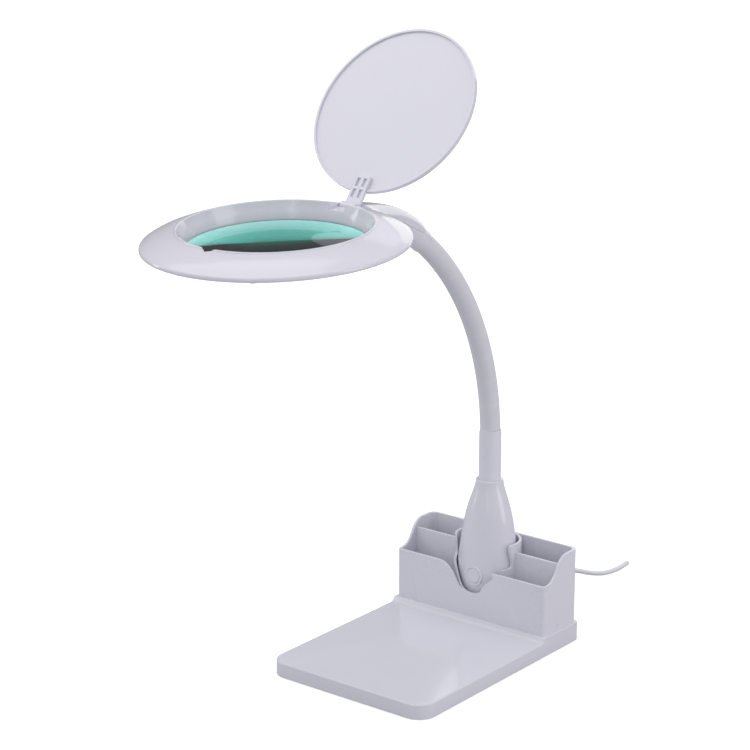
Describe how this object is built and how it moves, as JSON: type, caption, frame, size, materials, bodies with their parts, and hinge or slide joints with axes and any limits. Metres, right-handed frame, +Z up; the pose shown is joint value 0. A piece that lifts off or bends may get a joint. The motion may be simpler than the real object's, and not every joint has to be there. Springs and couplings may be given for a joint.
{
  "type": "desk magnifying lamp",
  "caption": "White desk magnifying lamp on a tray base with a pen organiser, a gooseneck arm, a push button, and a round lit lens with a flip-up lid.",
  "frame": {"origin": "centre of the base's footprint, on the desk under the rubber feet", "axes": "+Z up, -Y towards the user over the tray and under the lens, +X to the right along the organiser"},
  "size_m": [0.1804, 0.5144, 0.4696],
  "materials": {
    "white_shell": "glossy moulded cool white",
    "white_box": "glossy moulded cool white",
    "white_sleeve": "soft matte white sleeve",
    "inner_plastic": "matte inner parts",
    "button_white": "satin white",
    "diffuser": "milky translucent",
    "led_yellow": "phosphor yellow, unlit",
    "lens_glass": "polished crown glass",
    "circuit_board": "green solder mask",
    "led_board_white": "white-coated aluminium",
    "components": "moulded epoxy",
    "steel": "zinc-plated",
    "ballast_steel": "grey primer on steel",
    "foot_rubber": "matte black rubber",
    "cord_white": "soft white cable sheath"
  },
  "bodies": {
    "base": {"base_tray": "white_shell", "base_cover": "inner_plastic", "ballast_plate": "ballast_steel", "ballast_screws": "steel", "cover_screws": "steel", "rubber_feet": "foot_rubber", "driver_board": "circuit_board", "driver_components": "components", "driver_screws": "steel", "cord_grommet": "cord_white", "power_cord": "cord_white", "organiser_box": "white_box", "box_screws": "steel", "lamp_foot": "white_shell", "foot_plate": "inner_plastic", "foot_screws": "steel", "switch_bezel": "button_white", "switch_body": "components", "lower_ferrule": "steel", "ferrule_nut": "steel", "ferrule_washer": "steel", "lower_collar": "white_shell", "neck_core_0": "steel", "neck_sleeve_0": "white_sleeve"},
    "power_button": {"power_button": "button_white"},
    "neck_1": {"neck_core_1": "steel", "neck_sleeve_1": "white_sleeve"},
    "neck_2": {"neck_core_2": "steel", "neck_sleeve_2": "white_sleeve"},
    "neck_3": {"neck_core_3": "steel", "neck_sleeve_3": "white_sleeve"},
    "neck_4": {"neck_core_4": "steel", "neck_sleeve_4": "white_sleeve"},
    "neck_5": {"neck_core_5": "steel", "neck_sleeve_5": "white_sleeve"},
    "neck_6": {"neck_core_6": "steel", "neck_sleeve_6": "white_sleeve"},
    "neck_7": {"neck_core_7": "steel", "neck_sleeve_7": "white_sleeve"},
    "neck_8": {"neck_core_8": "steel", "neck_sleeve_8": "white_sleeve"},
    "head": {"neck_core_9": "steel", "neck_sleeve_9": "white_sleeve", "upper_collar": "white_shell", "upper_ferrule": "steel", "head_upper_shell": "white_shell", "head_lower_shell": "white_shell", "neck_lock_screw": "steel", "head_screws": "steel", "magnifier_lens": "lens_glass", "lens_retainer": "inner_plastic", "led_board": "led_board_white", "leds": "led_yellow", "light_diffuser": "diffuser", "lid_hinge_pin": "steel"},
    "lid": {"lid_panel": "white_shell", "lid_hinge_arm": "white_shell"}
  },
  "joints": [
    {"name": "neck_bend_1", "type": "hinge", "parent": "base", "child": "neck_1", "pos_m": [0, 0.07745, 0.16991], "axis": [1, 0, 0], "range_deg": [-10, 8]},
    {"name": "neck_sway_1", "type": "hinge", "parent": "neck_1", "child": "neck_2", "pos_m": [0, 0.07442, 0.19059], "axis": [0, 0.981, 0.1942], "range_deg": [-8, 8]},
    {"name": "neck_bend_2", "type": "hinge", "parent": "neck_2", "child": "neck_3", "pos_m": [0, 0.06934, 0.21087], "axis": [1, 0, 0], "range_deg": [-10, 8]},
    {"name": "neck_sway_2", "type": "hinge", "parent": "neck_3", "child": "neck_4", "pos_m": [0, 0.06226, 0.23054], "axis": [0, 0.9228, 0.3854], "range_deg": [-8, 8]},
    {"name": "neck_bend_3", "type": "hinge", "parent": "neck_4", "child": "neck_5", "pos_m": [0, 0.05325, 0.2494], "axis": [1, 0, 0], "range_deg": [-10, 8]},
    {"name": "neck_sway_3", "type": "hinge", "parent": "neck_5", "child": "neck_6", "pos_m": [0, 0.0424, 0.26727], "axis": [0, 0.8277, 0.5611], "range_deg": [-8, 8]},
    {"name": "neck_bend_4", "type": "hinge", "parent": "neck_6", "child": "neck_7", "pos_m": [0, 0.02982, 0.28397], "axis": [1, 0, 0], "range_deg": [-10, 8]},
    {"name": "neck_sway_4", "type": "hinge", "parent": "neck_7", "child": "neck_8", "pos_m": [0, 0.01563, 0.29933], "axis": [0, 0.6997, 0.7145], "range_deg": [-8, 8]},
    {"name": "neck_bend_5", "type": "hinge", "parent": "neck_8", "child": "head", "pos_m": [0, -0.00002, 0.31319], "axis": [1, 0, 0], "range_deg": [-10, 8]},
    {"name": "lid_hinge", "type": "hinge", "parent": "head", "child": "lid", "pos_m": [0, -0.09057, 0.35869], "axis": [1, 0, 0], "range_deg": [-3, 130.2]},
    {"name": "button_press", "type": "slide", "parent": "base", "child": "power_button", "axis": [0, 1, 0], "range_m": [0, 0.0015], "stiffness_N_per_m": 800, "springref_m": -0.001}
  ]
}
